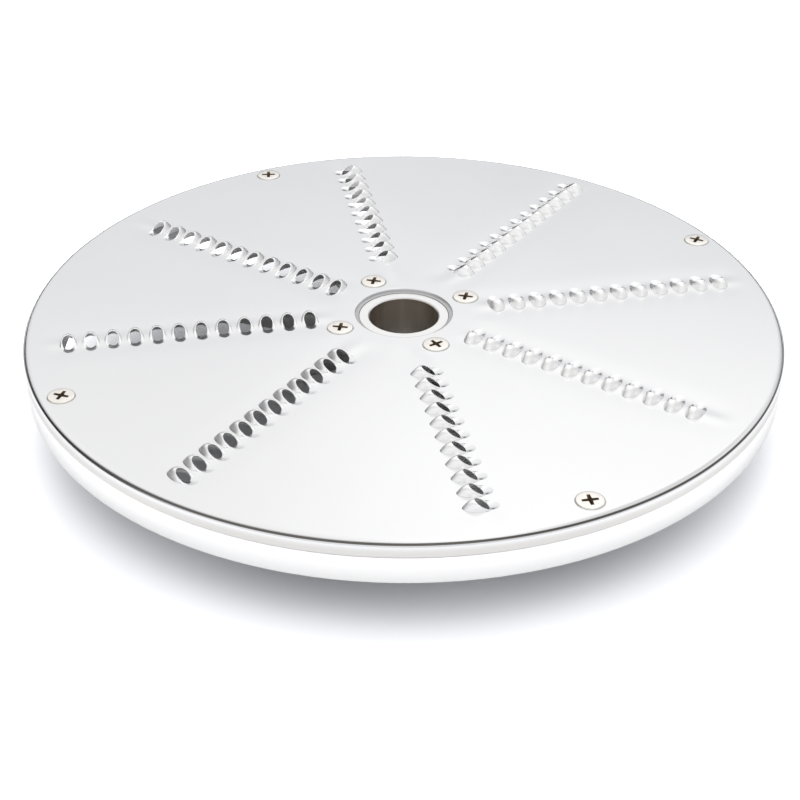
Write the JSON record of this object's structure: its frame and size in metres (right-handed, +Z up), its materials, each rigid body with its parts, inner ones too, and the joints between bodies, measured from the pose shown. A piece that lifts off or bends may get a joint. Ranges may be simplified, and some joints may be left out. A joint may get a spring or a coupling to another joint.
{
  "type": "food processor disc",
  "caption": "Grating disc for a vegetable cutter: a stainless plate with rows of pressed teeth, screwed to a spoked aluminium casting with a slotted, bushed hub.",
  "frame": {"origin": "middle of the hub's foot, on the axis of the shaft bore", "axes": "+Z up along the bore, from the hub's foot to the toothed face; +X through a hub screw and a rim screw"},
  "size_m": [0.205, 0.205, 0.0271],
  "materials": {
    "stainless_sheet": "satin",
    "cast_aluminium": "satin",
    "bush_steel": "turned",
    "screw_steel": "satin"
  },
  "bodies": {
    "root": {"grating_plate": "stainless_sheet", "disc_body": "cast_aluminium", "hub_bush": "bush_steel", "rim_screws": "screw_steel", "hub_screws": "screw_steel"}
  },
  "joints": []
}
